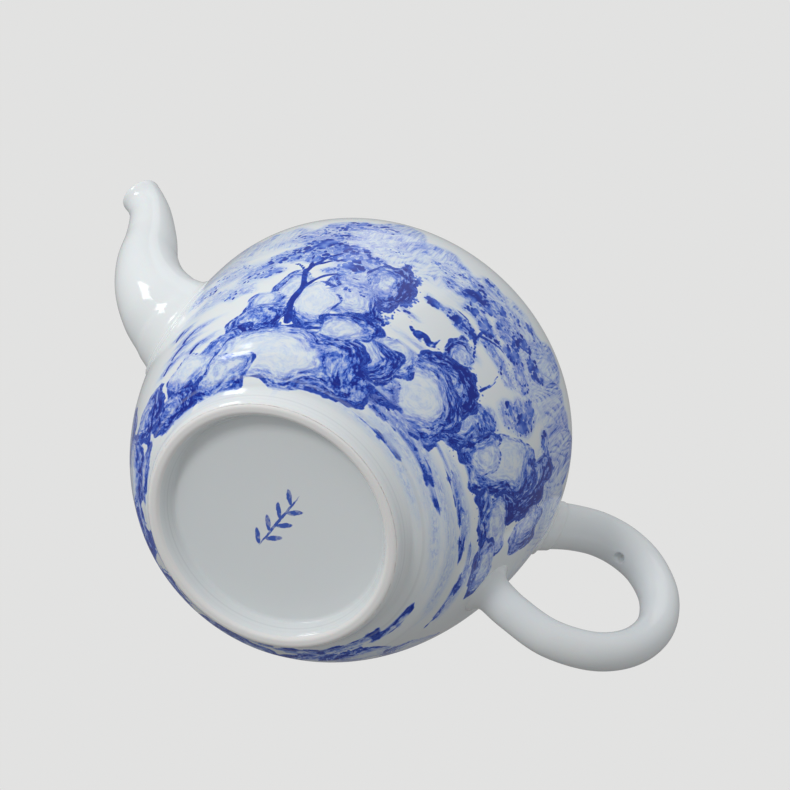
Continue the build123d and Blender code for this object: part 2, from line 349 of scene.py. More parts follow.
def paint_front(p):
    """The side with the main scene, from the far hills to the shore, spout on the left."""
    # far hills: tall pale domes of vertical strokes
    hills = (
        (58, 47, 9, 7, 0.16), (72, 45, 8, 13, 0.17), (84, 44, 10, 10, 0.2), (95, 46, 7, 6, 0.13),
        (108, 49, 9, 6, 0.14), (126, 43, 8, 15, 0.2), (137, 45, 11, 9, 0.24), (151, 43, 9, 14, 0.26),
        (38, 44, 10, 8, 0.13), (24, 42, 8, 11, 0.11), (166, 45, 8, 7, 0.2), (176, 43, 8, 10, 0.16),
    )
    for k, (az, up, a, b, tone) in enumerate(hills):
        p.hill((az, up), (a, b), tone * 1.5, 3 * (k % 3) - 3, 40 + k)
    # mist and the banks behind the trees
    p.wash((34, 33), (12, 2.5), 12, 0.22, 3)
    p.wash((30, 26), (10, 2.0), 16, 0.2, 4)
    p.wash((22, 38), (9, 2.0), 10, 0.16, 5)
    p.wash((52, 44), (8, 3.0), 0, 0.3, 6)
    p.wash((160, 41), (9, 2.2), -6, 0.24, 7)
    # left-hand foliage
    paint_leaves(p, 8, 70, (
        (22, 31, 4.5, 3.2, 0.7), (31, 35, 5, 2.6, 0.45), (41, 31, 5, 4.2, 0.75), (47, 36, 5, 3.6, 0.7),
        (37, 25, 4.5, 2.4, 0.5), (28, 27, 4, 2, 0.4), (58, 51, 7, 3.2, 0.75), (66, 52, 5, 2.6, 0.6),
        (50, 46, 5, 3, 0.55), (70, 44, 5, 3, 0.35),
    ))
    # the crag with its old tree
    paint_rocks(p, (
        ((71, 31.5), (4.4, 6.4), -6, 0.45, 0.16, 0.4, 3.2, 0.5, -60, 11, 0.3),
        ((79, 32), (3.9, 7.2), 8, 1.0, 0.16, 0.05, 3.4, 0.5, 10, 10, 0.5, 1.0),
        ((73.5, 23.5), (5.4, 5.6), 20, 0.6, 0.16, 0.45, 3, 0.5, -50, 12, 0.42, 0.8),
        ((62.5, 20.3), (5.2, 6.0), 12, 0.4, 0.07, 0.6, 2.6, 0.4, -100, 13, 0.42),
        ((53, 24), (3.4, 5.6), -14, 0.4, 0.12, 0.4, 2.4, 0.5, 200, 14, 0.3),
        ((47.5, 20), (3.4, 3.6), 0, 0.55, 0.14, 0.4, 2.4, 0.5, -80, 15, 0.3, 0.7),
    ))
    p.stroke_along(((57.5, 15), (56, 20), (57, 25), (55.5, 30), (58.5, 35), (62, 38)), 0.85, 0.3)
    p.stroke_along(((56.8, 24), (60.5, 28.5), (65.5, 30.5), (71, 30)), 0.5)
    p.stroke_along(((56.5, 28), (53, 32), (48, 33.5)), 0.45)
    p.stroke_along(((58, 33), (62, 35), (67.5, 34.5)), 0.42)
    p.stroke_along(((56, 31), (54.5, 36), (51.5, 39)), 0.4)
    paint_leaves(p, 6, 90, (
        (58, 41, 6.2, 4.0, 1.0), (65, 39.5, 4.6, 2.8, 0.9), (52, 39, 4.2, 2.6, 0.85),
        (67, 34, 5, 2.6, 0.85), (63, 31, 3.6, 1.6, 0.7), (48, 35, 4.2, 2.2, 0.75),
        (71.5, 27, 3.2, 2.6, 0.55), (60, 45.5, 4.6, 2.2, 0.7), (55, 35.5, 4.0, 2.4, 0.8),
        (61, 36.5, 4.2, 2.2, 0.85), (45, 30.5, 3.8, 2.2, 0.7), (70, 37.5, 3.6, 2.4, 0.8),
    ))
    # the grove across the water
    p.stroke_along(((107, 25), (108.5, 30), (105.5, 35), (107, 41)), 0.5)
    p.stroke_along(((106.5, 33), (101, 36.5), (96, 37)), 0.38)
    p.stroke_along(((106, 36), (112, 38.5), (117, 38)), 0.38)
    p.stroke_along(((116.5, 26), (117.5, 31), (115, 36)), 0.36)
    paint_leaves(p, -4, 110, (
        (94, 43, 4.4, 2.6, 0.9), (101, 45.5, 4.8, 3.0, 0.9), (110, 43.5, 5.0, 3.2, 0.95),
        (117, 41, 4.4, 2.8, 0.85), (101, 40, 4.6, 2.4, 0.8), (92, 34.3, 4.2, 1.3, 0.95),
        (101, 34.5, 5.4, 2.2, 0.9), (112, 36, 4.8, 2.4, 0.75), (119, 35, 3.6, 2, 0.6),
        (100, 51.5, 4.2, 1.8, 0.8), (110, 50, 4.2, 2.2, 0.6), (118, 52, 4.6, 1.8, 0.75),
        (107, 30, 3.4, 2.0, 0.5), (124, 45, 5.0, 2.6, 0.8), (96, 48, 5.0, 2.2, 0.75),
        (123, 39, 4.0, 2.4, 0.7), (105, 47, 5.4, 2.2, 0.85), (115, 46.5, 4.6, 2.2, 0.8),
        (88, 46, 4.4, 1.6, 0.6), (107, 39, 4.4, 2.0, 0.8),
    ))
    p.rock((105.5, 28), (3.3, 3.3), 0, 0.6, 0.24, 0.35, 2.2, 0.5, 160, 16, 0.36)
    # a covered boat on the water, in a few strokes, with a reed bank behind it
    p.stroke_along(((90.4, 24.6), (93, 23.5), (96.5, 23.3), (100.4, 24.8)), 0.42, 0.3)
    p.stroke_along(((93.2, 24.4), (95.0, 24.9), (96.6, 24.4)), 0.85, 0.8)
    p.stroke_along(((98.4, 24.4), (98.7, 26.8)), 0.28, 0.6)
    p.stroke_along(((84.5, 26.6), (87, 26.9), (90.0, 26.0)), 0.24)
    p.wash((95, 21.8), (5.0, 0.7), 0, 0.24, 10)
    p.foliage((86.5, 27.6), (3.2, 0.8), -6, 0.6, 141)
    # the swirling boulders of the near shore
    p.rock((121, 18), (4.2, 7.5), -14, 0.5, 0.24, 0.2, 3.4, 0.5, 0, 17, 0.3, 0.4)
    p.foliage((124, 24), (3.2, 4.0), 0, 0.6, 130)
    paint_rocks(p, (
        ((109.5, 21.5), (7.2, 4.8), 14, 0.95, 0.42, 0.05, 2.6, 0.35, 40, 18, 0.5, 0.5),
        ((107, 13.8), (9.3, 7.3), 8, 0.62, 0.08, 0.4, 4.6, 0.55, 20, 19, 0.42, 0, 2.0),
        ((92, 16), (4.8, 4.2), -10, 0.5, 0.12, 0.3, 3.0, 0.5, -70, 20, 0.34),
        ((93, 9.5), (4.2, 4.0), 0, 0.66, 0.14, 0.25, 3.2, 0.6, -80, 21, 0.34, 0.5),
        ((83.5, 12.6), (6.6, 6.4), 6, 0.78, 0.14, 0.3, 3.6, 0.55, -25, 22, 0.5, 0.5),
        ((76, 17.2), (6.2, 3.0), 18, 0.6, 0.1, 0.35, 2.6, 0.5, 40, 23, 0.36),
        ((46, 14.5), (6.4, 4.2), 24, 0.85, 0.36, 0.15, 2.8, 0.45, -100, 24, 0.5, 0.8),
        ((38, 9.8), (5.4, 4.0), 20, 0.95, 0.36, 0.15, 2.6, 0.45, -60, 25, 0.5, 0.6),
        ((62, 7.2), (16.5, 7.0), 4, 0.66, 0.07, 0.42, 5.2, 0.6, -8, 26, 0.5),
        ((34, 3.6), (8.0, 4.0), 8, 0.5, 0.14, 0.3, 3.6, 0.6, -110, 27, 0.34),
        ((22, 7.2), (6.6, 3.6), 18, 0.4, 0.08, 0.4, 2.6, 0.4, -120, 28, 0.34),
        ((12.5, 2.6), (6.0, 3.0), 6, 1.0, 0.4, 0.1, 2.6, 0.4, -60, 29, 0.5),
        ((-2, 7.4), (6.4, 3.2), 8, 0.8, 0.3, 0.2, 2.6, 0.4, -60, 30, 0.42),
    ))
    # low spits in the water beside the spout
    spits = ((19, 15.5, 5), (24, 18, 5), (14, 13, 4), (27, 13.2, 4), (18, 20.5, 3))
    for k, (az, up, run) in enumerate(spits):
        p.stroke_along(((az - run * 0.9, up - 1.0), (az, up + 0.4), (az + run, up + 0.2)), 0.42)
        p.wash((az, up), (run, 0.9), 8, 0.42, 20 + k)
    # the tall stone by the handle
    p.foliage((131, 34), (4.4, 5.0), 0, 0.85, 131)
    p.foliage((127, 30), (3.6, 3.6), 0, 0.6, 132)
    p.foliage((142, 40), (4.6, 2.4), 0, 0.9, 133)
    paint_rocks(p, (
        ((149.5, 31), (5.4, 9.6), -10, 0.95, 0.4, 0.1, 3, 0.35, 10, 31, 0.55, 0.5),
        ((139.5, 24.5), (6.0, 10.6), -18, 0.66, 0.08, 0.42, 3.6, 0.55, 0, 32, 0.46),
        ((131.5, 19.5), (3.4, 5.8), -16, 0.55, 0.14, 0.35, 2.8, 0.5, -140, 33, 0.36),
        ((163, 33), (4.6, 6.2), -8, 0.55, 0.2, 0.2, 3.4, 0.5, 30, 34, 0.34),
        ((155, 19.6), (8.4, 3.8), 6, 0.55, 0.16, 0.3, 3.2, 0.55, -90, 35, 0.34, 0.4),
        ((168, 18.6), (6.4, 3.0), 0, 0.6, 0.18, 0.3, 2.6, 0.5, -90, 36, 0.34),
    ))
    # islets and ripples of the shallows
    for k, (az, up, run, thick) in enumerate((
        (136, 10.4, 7.6, 0.75), (151, 11.0, 5.6, 0.8), (122, 5.8, 6.0, 0.55), (104, 5.6, 6.0, 0.8),
        (135, 5.6, 4.4, 0.4), (109, 2.2, 4.6, 0.35), (181, 12.4, 4.6, 0.7), (168, 13.4, 5.2, 0.7),
        (98, 8.4, 3.4, 0.7),
    )):
        p.rock((az, up), (run, thick), 1.5, dark=0.6, base=0.2, core=0.1, bands=1.4, gain=0.3,
               side=-60, seed=140 + k, width=0.2, power=1.7, wobble=0.2)
        p.wash((az - 1, up + 1.2), (run, 0.9), 1, 0.2, 150 + k)
    for k, (az, up, run) in enumerate((
        (118, 4, 12), (140, 7.6, 12), (160, 9, 12), (100, 1.6, 9), (150, 4.6, 10), (126, 1.4, 8),
        (172, 8.0, 9),
    )):
        p.wash((az, up), (run, 1.1), 1, 0.13, 30 + k)


def paint_back(p):
    """The other side: the same shore runs on, with lower rocks, a leaning tree and far hills."""
    rng = np.random.RandomState(5)
    for k in range(11):
        p.hill((196 + 15 * k + rng.uniform(-6, 6), rng.uniform(40, 46)),
               (rng.uniform(7, 13), rng.uniform(4, 15)), rng.uniform(0.14, 0.34), 0, 200 + k)
    for k in range(9):
        p.wash((195 + 18 * k + rng.uniform(-5, 5), rng.uniform(24, 36)),
               (rng.uniform(7, 12), 2.0), 4, 0.2, 230 + k)
    p.stroke_along(((262, 12), (259, 19), (262, 26), (257, 32), (260, 38)), 0.85, 0.3)
    p.stroke_along(((260.5, 23), (267, 28), (273, 29.5)), 0.66)
    p.stroke_along(((260, 29), (252, 33), (246, 34)), 0.62)
    p.stroke_along(((259, 33), (263, 37), (268, 38)), 0.56)
    paint_leaves(p, 5, 240, (
        (258, 41, 7, 4.2, 1.0), (268, 36, 5.4, 2.8, 0.9), (247, 36, 5.2, 2.8, 0.9),
        (274, 31, 4.6, 2.2, 0.85), (252, 45, 5, 2.4, 0.7), (214, 33, 5.4, 3.4, 0.7),
        (222, 37, 5.0, 2.8, 0.6), (309, 34, 5.6, 3.4, 0.8), (318, 39, 5.2, 2.8, 0.7),
        (301, 30, 4.6, 2.6, 0.6), (334, 31, 4.6, 3.0, 0.55), (237, 29, 4.4, 2.2, 0.5),
    ))
    boulders = (
        (312, 25, 5.4, 8.4, 0.9, 0.3), (302, 20, 6.4, 6.4, 0.5, 0.08), (324, 21, 5.6, 7.0, 0.55, 0.12),
        (216, 24, 5.0, 7.6, 0.9, 0.34), (226, 18, 6.6, 6.4, 0.5, 0.08), (207, 17, 5.2, 5.0, 0.55, 0.12),
        (341, 16, 6.0, 5.0, 0.6, 0.14), (275, 15, 6.4, 5.2, 0.75, 0.2), (247, 13, 7.0, 5.4, 0.6, 0.1),
        (290, 11, 8.4, 6.0, 0.62, 0.08), (261, 9.0, 8.0, 5.6, 0.7, 0.1), (314, 10, 8.0, 5.6, 0.66, 0.1),
        (234, 8.6, 7.4, 4.8, 0.7, 0.1), (216, 8.6, 6.0, 3.8, 0.6, 0.12),
        (334, 7.2, 7.4, 4.2, 0.66, 0.1),
    )
    for k, (az, up, a, b, dark, base) in enumerate(boulders):
        p.rock((az, up), (a, b), 12 - 5 * (k % 5), dark=dark, base=base, core=0.38,
               bands=2.8 + 0.3 * (k % 6), gain=0.55, side=-20 - 25 * (k % 4), seed=260 + k,
               width=0.42, moss=0.7 * (k % 2))
    for k in range(8):
        p.rock((193 + 21 * k, rng.uniform(1.6, 4.6)), (rng.uniform(4.5, 7.5), rng.uniform(0.7, 1.1)),
               1, dark=0.75, base=0.2, core=0.2, bands=1.4, gain=0.4, side=-80, seed=290 + k,
               width=0.32, power=1.7, wobble=0.16)


# ---- Node helpers ----
class Nodes:
    """A short way to write the node tree of a new material or world."""

    def __init__(self, owner):
        owner.use_nodes = True
        self.owner, self.tree = owner, owner.node_tree
        self.tree.nodes.clear()

    def put(self, socket, value):
        if isinstance(value, bpy.types.NodeSocket):
            self.tree.links.new(value, socket)
        elif value is not None:
            socket.default_value = value

    def add(self, kind, settings=None, **inputs):
        node = self.tree.nodes.new(kind)
        for key, value in (settings or {}).items():
            setattr(node, key, value)
        for key, value in inputs.items():
            self.put(node.inputs[key.replace("_", " ")], value)
        return node

    def wire(self, kind, settings, *values):
        """A node whose first inputs get the values, in order."""
        node = self.add(kind, settings)
        for socket, value in zip(node.inputs, values):
            self.put(socket, value)
        return node

    def math(self, operation, a, b=None):
        return self.wire("ShaderNodeMath", {"operation": operation}, a, b).outputs[0]

    def times(self, a, b):
        return self.math("MULTIPLY", a, b)

    def vector(self, operation, *values):
        return self.wire("ShaderNodeVectorMath", {"operation": operation}, *values).outputs

    def ramp(self, value, low, high, to_low=0.0, to_high=1.0, kind="SMOOTHSTEP"):
        settings = {"interpolation_type": kind}
        node = self.wire("ShaderNodeMapRange", settings, value, low, high, to_low, to_high)
        return node.outputs[0]

    def mix_shaders(self, factor, a, b):
        return self.wire("ShaderNodeMixShader", None, factor, a, b).outputs[0]

    def background(self, colour, strength):
        return self.wire("ShaderNodeBackground", None, colour, strength).outputs[0]

    def noise(self, vector, scale, detail=2.0, roughness=0.5):
        node = self.add("ShaderNodeTexNoise", None, Vector=vector, Scale=scale, Detail=detail,
                        Roughness=roughness)
        return node.outputs["Fac"]

    def attribute(self, name, output="Fac"):
        node = self.add("ShaderNodeAttribute", {"attribute_name": name})
        return node.outputs[output]

    def mix(self, factor, a, b):
        node = self.tree.nodes.new("ShaderNodeMix")
        node.data_type = "RGBA"
        for key, value in zip((0, 6, 7), (factor, a, b)):
            self.put(node.inputs[key], value)
        return node.outputs[2]

    def colours(self, value, stops):
        node = self.add("ShaderNodeValToRGB")
        ramp = node.color_ramp
        while len(ramp.elements) < len(stops):
            ramp.elements.new(0.5)
        for element, (place, colour) in zip(ramp.elements, stops):
            element.position, element.color = place, (*colour, 1)
        self.put(node.inputs[0], value)
        return node.outputs[0]


WHITE_GLAZE = (0.80, 0.835, 0.84)
BARE_CLAY = (0.86, 0.855, 0.835, 1)
SPRIG_BLUE = (0.02, 0.09, 0.5, 1)
VIOLET_TINGE = (0.38, 0.36, 0.74, 1)
TURNING_GREY = (0.5, 0.53, 0.55, 1)
COBALT = (
    (0.0, WHITE_GLAZE),
    (0.10, (0.64, 0.73, 0.86)),
    (0.26, (0.36, 0.46, 0.79)),
    (0.48, (0.11, 0.22, 0.70)),
    (0.74, (0.010, 0.070, 0.50)),
    (1.0, (0.001, 0.016, 0.28)),
)


def glaze(t, colour, place, bare=None):
    """The glaze itself: a clear gloss coat with faint ripples; bare marks unglazed clay."""
    swell = t.noise(place, 55.0, 1.0)
    pits = t.noise(place, 900.0, 2.0)
    height = t.math("ADD", swell, t.times(pits, 0.02))
    bump = t.add("ShaderNodeBump", None, Height=height, Strength=0.16, Distance=0.0012)
    rough = t.ramp(t.noise(place, 120.0, 3.0), 0.3, 0.7, 0.06, 0.13)
    if bare is not None:
        rough = t.math("MAXIMUM", rough, t.times(bare, 0.6))
        colour = t.mix(bare, colour, BARE_CLAY)
    shader = t.add("ShaderNodeBsdfPrincipled", None, Base_Color=colour, Roughness=rough,
                   Normal=bump.outputs[0], IOR=1.46, Subsurface_Weight=0.08, Subsurface_Scale=0.0012,
                   Coat_Weight=0.12, Coat_Roughness=0.03)
    t.wire("ShaderNodeOutputMaterial", None, shader.outputs[0])
    return t.owner


def white_porcelain(name):
    t = Nodes(bpy.data.materials.new(name))
    place = t.add("ShaderNodeTexCoord").outputs["Object"]
    cloud = t.noise(place, 45.0, 2.0)
    specks = t.ramp(t.noise(place, 1500.0, 1.0), 0.78, 0.84)
    body = t.mix(t.ramp(cloud, 0.3, 0.7), (*WHITE_GLAZE, 1), (0.835, 0.86, 0.86, 1))
    colour = t.mix(t.times(specks, 0.12), body, (0.45, 0.42, 0.36, 1))
    return glaze(t, colour, place)


def leaf_spray(t, place, at, turn):
    """A small spray of seven leaves along a stem, each brush mark a soft ellipse. at is in mm."""
    blur = t.add("ShaderNodeTexNoise", None, Vector=place, Scale=700.0)
    shift = t.vector("MULTIPLY_ADD", blur.outputs["Color"], (0.0005, 0.0005, 0), place)[0]
    c, s = cos(radians(turn)), sin(radians(turn))
    # middle, turn and half sizes of each brush mark, in mm and degrees
    marks = [(at, turn, (7.0, 0.3))]
    for k in range(7):
        run = 5.6 - 1.9 * k
        side = 1 if k % 2 else -1
        off = 1.35 * side
        middle = (at[0] + run * c - off * s, at[1] + run * s + off * c)
        marks.append((middle, turn + 42 * side, (1.75, 0.52)))
    drawn = 0.0
    for middle, turned, half in marks:
        local = t.add("ShaderNodeMapping", {"vector_type": "TEXTURE"}, Vector=shift)
        local.inputs["Location"].default_value = (middle[0] * MM, middle[1] * MM, 0)
        local.inputs["Rotation"].default_value = (0, 0, radians(turned))
        local.inputs["Scale"].default_value = (half[0] * MM, half[1] * MM, 1)
        length = t.vector("LENGTH", local.outputs[0])["Value"]
        drawn = t.math("MAXIMUM", t.ramp(length, 1.12, 0.88), drawn)
    return t.times(drawn, t.ramp(t.noise(place, 900.0, 2.0), 0.3, 0.55, 0.6, 0.95))


def sprig(t, place):
    """A generic leaf spray on the glazed floor inside the foot ring, where a maker would sign."""
    height = t.add("ShaderNodeSeparateXYZ", None, Vector=place).outputs["Z"]
    inside_ring = t.ramp(height, 0.0055, 0.005)
    return t.times(leaf_spray(t, place, SPRIG_AT, SPRIG_TURN), inside_ring)


def painted_porcelain():
    """White glaze over brushwork read from the bowl's painted fields."""
    t = Nodes(bpy.data.materials.new("painted_porcelain"))
    place = t.add("ShaderNodeTexCoord").outputs["Object"]
    flow = t.attribute("flow", "Vector")
    tone, gain = t.attribute("tone"), t.attribute("band_gain")
    line, width = t.attribute("line"), t.attribute("line_width")
    leaf, stroke = t.attribute("leaf"), t.attribute("stroke")
    # dry streaks of the brush, drawn out along each form
    streak = t.noise(flow, 2.6, 4.0, 0.65)
    fine = t.noise(flow, 8.0, 3.0, 0.65)
    grain = t.noise(place, 700.0, 2.0, 0.6)
    waver = t.noise(place, 330.0, 2.0)
    # contour bands: each darkens outwards and breaks off sharply
    shake = t.math("ADD", t.times(t.math("SUBTRACT", streak, 0.5), 0.9),
                   t.times(t.math("SUBTRACT", waver, 0.5), 0.45))
    saw = t.math("FRACT", t.math("ADD", t.attribute("band"), shake))
    band = t.times(t.ramp(saw, 0.35, 0.9), t.ramp(saw, 0.99, 0.92))
    patches = t.ramp(t.noise(flow, 1.3, 1.0), 0.38, 0.6, 0.2, 1.25)
    band = t.times(band, t.times(gain, patches))
    # washes, broken up by the streaks
    wash = t.times(tone, t.ramp(streak, 0.36, 0.64, 0.3, 1.45))
    wash = t.math("ADD", wash, t.times(band, t.ramp(fine, 0.35, 0.62, 0.4, 1.2)))
    wash = t.times(wash, t.ramp(fine, 0.3, 0.65, 0.72, 1.2))
    wash = t.times(wash, t.ramp(grain, 0.25, 0.7, 0.82, 1.14))
    # short texture strokes on the pale faces
    short = t.ramp(t.noise(flow, 5.0), 0.56, 0.66)
    wash = t.math("MAXIMUM", wash, t.times(short, t.ramp(tone, 0.06, 0.3, 0.0, 0.4)))
    # outlines that swell and thin
    edge_at = t.times(width, t.ramp(waver, 0.3, 0.7, 0.3, 1.5))
    gap = t.math("SUBTRACT", line, edge_at)
    outline = t.times(t.ramp(gap, 0.12, -0.1), t.math("GREATER_THAN", width, 0.02))
    outline = t.times(outline, t.ramp(fine, 0.3, 0.6, 0.45, 0.98))
    # foliage and moss: dabs that crowd together where the field is dense
    warp = t.add("ShaderNodeTexNoise", None, Vector=place, Scale=600.0)
    shift = t.add("ShaderNodeVectorMath", {"operation": "SCALE"}, Vector=warp.outputs["Color"],
                  Scale=0.0008)
    cells = t.add("ShaderNodeTexVoronoi", None, Vector=t.vector("ADD", place, shift.outputs[0])[0],
                  Scale=1050.0)
    dab_size = t.times(leaf, t.ramp(t.noise(place, 300.0, 2.0), 0.3, 0.65, 0.3, 1.0))
    dabs = t.ramp(t.math("SUBTRACT", dab_size, cells.outputs["Distance"]), -0.06, 0.16)
    dab_tone = t.ramp(t.noise(place, 420.0, 1.0), 0.3, 0.7, 0.42, 0.95)
    dabs = t.times(dabs, dab_tone)
    # single strokes
    strokes = t.math("ADD", stroke, t.times(t.math("SUBTRACT", waver, 0.5), 0.5))
    strokes = t.times(t.ramp(strokes, -0.08, 0.12), t.ramp(grain, 0.2, 0.6, 0.6, 0.95))
    ink = t.math("MAXIMUM", t.math("MAXIMUM", wash, outline), t.math("MAXIMUM", dabs, strokes))
    ink = t.math("MINIMUM", ink, 1.0)
    colour = t.colours(ink, COBALT)
    cloud = t.ramp(t.noise(place, 60.0, 1.0), 0.4, 0.65)
    violet = t.mix(t.times(cloud, 0.16), colour, VIOLET_TINGE)
    pale = t.times(t.ramp(ink, 0.05, 0.25), t.ramp(ink, 0.6, 0.35))
    colour = t.mix(pale, colour, violet)
    height = t.add("ShaderNodeSeparateXYZ", None, Vector=place).outputs["Z"]
    # fine rings left by the turning tool round the foot
    level = t.add("ShaderNodeCombineXYZ", None, X=0.0, Y=0.0, Z=height).outputs[0]
    rings = t.times(t.ramp(t.noise(level, 1500.0), 0.5, 0.62), t.ramp(height, 0.0085, 0.005))
    colour = t.mix(t.times(rings, 0.22), colour, TURNING_GREY)
    bare = t.ramp(t.math("ADD", height, t.times(grain, 0.0003)), 0.0009, 0.0005)
    return glaze(t, t.mix(sprig(t, place), colour, SPRIG_BLUE), place, bare)


LID_SPRAYS, LID_SPRAY_R, LID_SPRAY_TURN = 6, 16.6, 84.0
LID_LINES = ((24.6, 0.3), (10.4, 0.2))        # radius and half width of the painted lines, mm


def lid_porcelain():
    """The lid: a ring of leaf sprays round the knob between two fine lines."""
    t = Nodes(bpy.data.materials.new("painted_lid"))
    place = t.add("ShaderNodeTexCoord").outputs["Object"]
    split = t.add("ShaderNodeSeparateXYZ", None, Vector=place)
    flat = t.add("ShaderNodeCombineXYZ", None, X=split.outputs["X"], Y=split.outputs["Y"], Z=0.0)
    out = t.vector("LENGTH", flat.outputs[0])["Value"]
    # one spray, repeated round the axis
    angle = t.math("ARCTAN2", split.outputs["Y"], split.outputs["X"])
    sector = 2 * pi / LID_SPRAYS
    nearest = t.times(t.math("ROUND", t.math("DIVIDE", angle, sector)), sector)
    turned = t.math("SUBTRACT", angle, nearest)
    folded = t.add("ShaderNodeCombineXYZ", None, X=t.times(out, t.math("COSINE", turned)),
                   Y=t.times(out, t.math("SINE", turned)), Z=0.0)
    ink = leaf_spray(t, folded.outputs[0], (LID_SPRAY_R, 0.0), LID_SPRAY_TURN)
    for radius, half in LID_LINES:
        away = t.math("ABSOLUTE", t.math("SUBTRACT", out, radius * MM))
        line = t.ramp(away, half * MM * 1.1, half * MM * 0.6)
        uneven = t.ramp(t.noise(place, 260.0, 3.0), 0.35, 0.6, 0.35, 0.85)
        ink = t.math("MAXIMUM", ink, t.times(line, uneven))
    ink = t.times(ink, t.ramp(split.outputs["Z"], 0.0738, 0.0744))
    return glaze(t, t.colours(ink, COBALT), place)


# ---- Pot body ----
FRONT_COLUMNS, BACK_COLUMNS = 290, 180        # finer on the side of the main scene
FRONT_FROM, FRONT_TO = -15.0, 205.0
BELLY_ROWS = 132
RIM_DROP = 0.4            # the skin's spline ends this far under the lid's seat
MOUTH_WALL = 3.2          # height of the mouth's wall


def bowl_profile():
    """Outline from the middle of the base, over the foot, belly, mouth and inside, back to the axis."""
    foot = rounded(
        [(0, RECESS_Z), (RECESS_R, RECESS_Z), (FOOT_INNER_R, FOOT_LIP), (FOOT_INNER_R + FOOT_LIP, 0),
         (FOOT_R - FOOT_LIP, 0), (FOOT_R, FOOT_LIP), (FOOT_JOIN_R, FOOT_JOIN_Z)],
        [0.6, 0.35, 0.35, 0.4, 0.6], 4)
    z_belly = np.linspace(BELLY_START_Z, SEAT_Z - RIM_DROP, 60)
    skin = [(FOOT_JOIN_R, FOOT_JOIN_Z), (28.6, 5.25)] + list(zip(belly_radius(z_belly), z_belly))
    skin = evenly(spline(skin, 600), BELLY_ROWS)
    rim_r = float(belly_radius(SEAT_Z - RIM_DROP))
    inside_z = np.linspace(SEAT_Z - WALL, INSIDE_FLOOR_Z, 40)
    inside_r = belly_radius(inside_z) - WALL
    rim = rounded([skin[-1], (rim_r - 0.25, SEAT_Z), (MOUTH_R, SEAT_Z),
                   (MOUTH_R, SEAT_Z - MOUTH_WALL), (inside_r[1] + 0.3, inside_z[1])], [EDGE, EDGE, 1.4], 4)
    wall = evenly(np.stack([inside_r[2:], inside_z[2:]], 1), 16)
    floor = rounded([wall[-2], wall[-1], (0, INSIDE_FLOOR_Z)], [INSIDE_CORNER], 6)
    parts = [foot[:-1], skin, rim[1:], wall[:-2], floor[1:]]
    return np.vstack(parts), len(foot) - 1


def pierce(piece, middle, along, radius, reach):
    """Cuts a straight round hole through a piece."""
    shape = bmesh.new()
    turned = Vector((0, 0, 1)).rotation_difference(along).to_matrix().to_4x4()
    bmesh.ops.create_cone(shape, cap_ends=True, segments=72, radius1=radius, radius2=radius,
                          depth=2 * reach, matrix=Matrix.Translation(middle) @ turned)
    mesh = bpy.data.meshes.new("drill")
    shape.to_mesh(mesh)
    shape.free()
    drill = bpy.data.objects.new("drill", mesh)
    bpy.context.scene.collection.objects.link(drill)
    cut = piece.modifiers.new("hole", "BOOLEAN")
    cut.operation, cut.solver, cut.object = "DIFFERENCE", "EXACT", drill
    whole = piece.data
    ready = piece.evaluated_get(bpy.context.evaluated_depsgraph_get())
    piece.data = bpy.data.meshes.new_from_object(ready)
    piece.modifiers.clear()
    bpy.data.objects.remove(drill)
    bpy.data.meshes.remove(mesh)
    bpy.data.meshes.remove(whole)


def make_body():
    profile, skin_from = bowl_profile()
    front = np.linspace(FRONT_FROM, FRONT_TO, FRONT_COLUMNS, endpoint=False)
    back = np.linspace(FRONT_TO, FRONT_FROM + 360, BACK_COLUMNS, endpoint=False)
    azimuth = np.r_[front, back]
    piece = lathe("pot_bowl", profile, np.radians(azimuth))
    rings = profile[1:-1]
    n = len(azimuth)
    skin = profile[skin_from:skin_from + BELLY_ROWS]
    height = np.r_[0, np.cumsum(np.hypot(*np.diff(skin, axis=0).T))]
    az_grid, up_grid = np.meshgrid(azimuth, height)
    p = Painting(az_grid, up_grid, np.repeat(skin[:, :1], n, 1))
    paint_back(p)
    paint_front(p)
    # the brush stops short of the foot and fades towards the mouth
    fade = smoothstep(-0.2, 0.8, up_grid) * smoothstep(66, 58, up_grid + 2 * ripple(az_grid / 9, 0, 77))
    first = skin_from - 1
    total = len(rings) * n + 2

    def spread(values, rest):
        full = np.full(total, float(rest))
        full[first * n:(first + BELLY_ROWS) * n] = values.ravel()
        return full

    stroke = np.where(fade > 0.4, p.stroke, NO_STROKE)
    for name, values, rest in (
        ("tone", p.tone * fade, 0), ("band", p.band, 0), ("band_gain", p.band_gain * fade, 0),
        ("line", p.line, FAR_LINE), ("line_width", p.line_width * fade, 0),
        ("leaf", p.leaf * fade, 0), ("stroke", stroke, NO_STROKE),
    ):
        set_float(piece, name, spread(values, rest))
    flow = np.zeros((total, 3))
    flow[first * n:(first + BELLY_ROWS) * n] = p.flow.reshape(-1, 3)
    set_vector(piece, "flow", flow)
    piece.data.materials.append(painted_porcelain())
    # the hole behind the spout, inside the luted seam, with the strainer over its inner end
    pierce(piece, SPOUT_HOLE_AT * MM, SPOUT_HOLE_WAY, SPOUT_HOLE_R * MM, SPOUT_HOLE_REACH * MM)
    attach(piece, "pot")
    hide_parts("pot_body")


# ---- Luted tubes: spout and handle ----
def tube_frames(stations, count):
    """Centres, radii and two cross directions along a tube that lies in the XZ plane."""
    line = evenly(spline(stations, 60 * len(stations)), count)
    centre = np.stack([line[:, 0], 0 * line[:, 0], line[:, 1]], 1)
    along = np.gradient(centre, axis=0)
    along /= np.linalg.norm(along, axis=1, keepdims=True)
    side = np.tile([0.0, 1.0, 0.0], (count, 1))
    up = np.cross(along, side)
    return centre, line[:, 2], side, up


